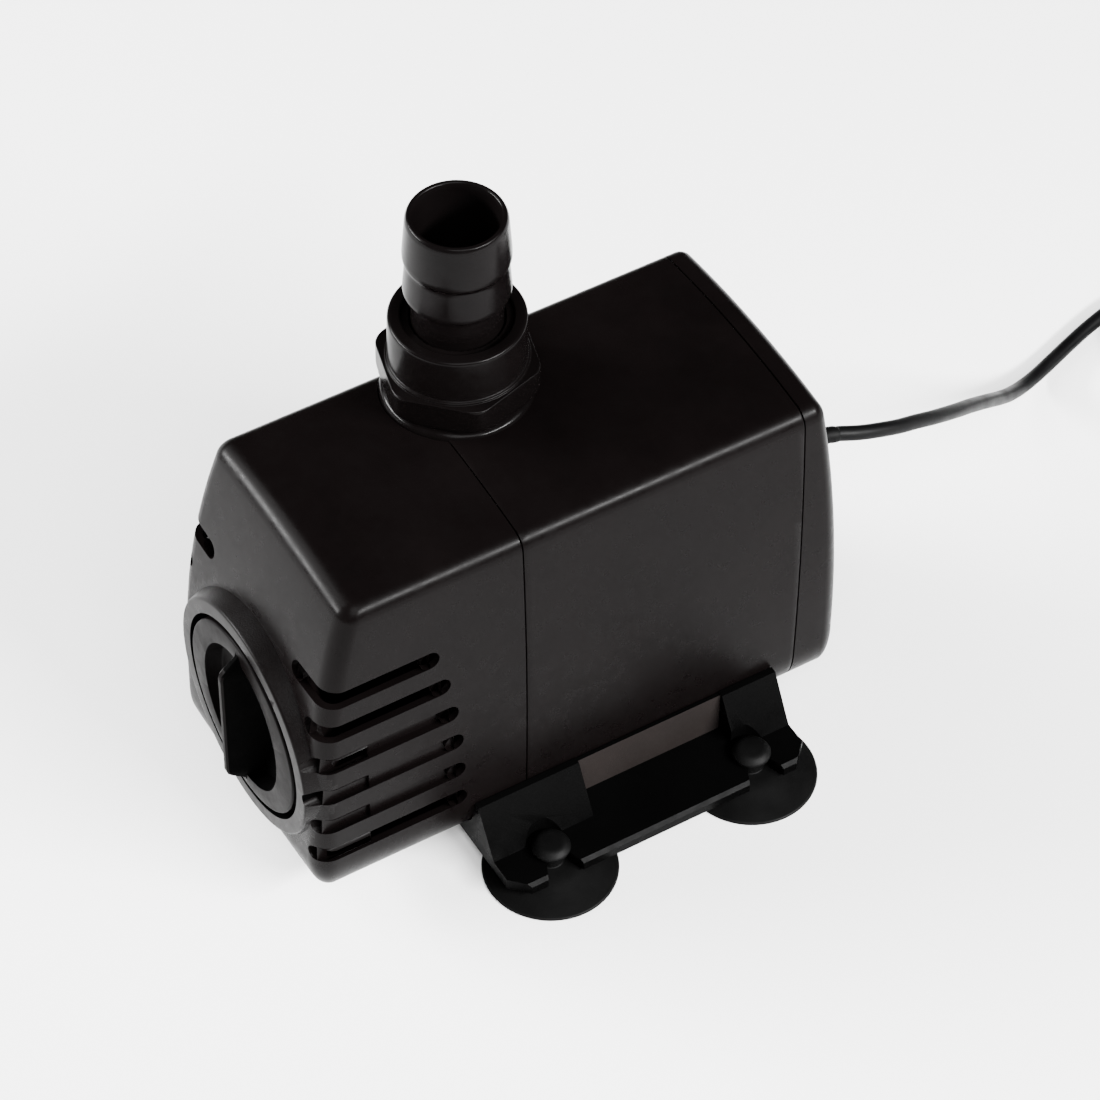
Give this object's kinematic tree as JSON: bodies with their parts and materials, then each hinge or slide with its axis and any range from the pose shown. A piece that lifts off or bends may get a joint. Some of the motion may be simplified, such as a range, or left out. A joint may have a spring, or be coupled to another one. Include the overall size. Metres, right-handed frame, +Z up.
{
  "type": "fountain submersible pump",
  "caption": "Black moulded submersible fountain pump with a slotted front cover, round flow dial, hose tail outlet, suction-cup bracket and a coiled supply cord.",
  "frame": {"origin": "on the floor under the middle of the pump, measured without its cord", "axes": "+Z up along the outlet, -Y towards the front cover and dial, +Y towards the rear cap and cord, +X the side away from the outlet"},
  "size_m": [0.1662, 0.4733, 0.2134],
  "materials": {
    "casing_plastic": "fine matte moulded",
    "fitting_plastic": "satin moulded",
    "soft_rubber": "soft matte",
    "bracket_plastic": "matte moulded",
    "cord_jacket": "satin jacket",
    "impeller_plastic": "moulded",
    "magnet": "sintered ferrite",
    "ceramic_shaft": "ground ceramic",
    "lamination": "stacked sheet",
    "copper_wire": "enamelled",
    "bobbin_nylon": "moulded nylon",
    "potting_resin": "cast epoxy",
    "screw_steel": "bright",
    "pin_metal": "nickel plated"
  },
  "bodies": {
    "pump_body": {"motor_housing": "casing_plastic", "outlet_spigot": "casing_plastic", "rear_cap": "casing_plastic", "volute": "fitting_plastic", "volute_cover": "fitting_plastic", "front_bush": "soft_rubber", "rear_bush": "soft_rubber", "outlet_o_ring": "soft_rubber", "suction_cup_1": "soft_rubber", "suction_cup_2": "soft_rubber", "suction_cup_3": "soft_rubber", "suction_cup_4": "soft_rubber", "base_bracket": "bracket_plastic", "strain_relief": "cord_jacket", "cord": "cord_jacket", "cord_end": "cord_jacket", "cord_coil": "cord_jacket", "coil_tie_1": "cord_jacket", "coil_tie_2": "cord_jacket", "plug_body": "cord_jacket", "shaft": "ceramic_shaft", "rotor_can": "fitting_plastic", "stator_core": "lamination", "bobbin_left": "bobbin_nylon", "winding_left": "copper_wire", "bobbin_right": "bobbin_nylon", "winding_right": "copper_wire", "potting_seal": "potting_resin", "rear_screw_1": "screw_steel", "rear_screw_2": "screw_steel", "rear_screw_3": "screw_steel", "rear_screw_4": "screw_steel", "plug_pin_1": "pin_metal", "plug_pin_2": "pin_metal"},
    "cover": {"front_cover": "casing_plastic"},
    "dial": {"flow_dial": "casing_plastic", "flow_shutter": "fitting_plastic"},
    "rotor": {"impeller": "impeller_plastic", "rotor_magnet": "magnet"},
    "hose_fitting": {"hose_tail": "fitting_plastic"},
    "nut": {"union_nut": "fitting_plastic"}
  },
  "joints": [
    {"name": "cover_pull", "type": "slide", "parent": "pump_body", "child": "cover", "axis": [0, -1, 0], "range_m": [0, 0.06]},
    {"name": "dial_turn", "type": "hinge", "parent": "cover", "child": "dial", "pos_m": [0, -0.097, 0.06], "axis": [0, -1, 0], "range_deg": [0, 90]},
    {"name": "rotor_spin", "type": "hinge", "parent": "pump_body", "child": "rotor", "pos_m": [0, 0.02, 0.06], "axis": [0, 1, 0], "continuous": true},
    {"name": "union_lift", "type": "slide", "parent": "pump_body", "child": "hose_fitting", "axis": [0, 0, 1], "range_m": [0, 0.006]},
    {"name": "nut_turn", "type": "hinge", "parent": "hose_fitting", "child": "nut", "pos_m": [-0.0245, -0.0042, 0.15], "axis": [0, 0, 1], "range_deg": [0, 720]}
  ],
  "couplings": [
    {"joint": "union_lift", "follows": "nut_turn", "m_per_rad": 0.00047746}
  ]
}
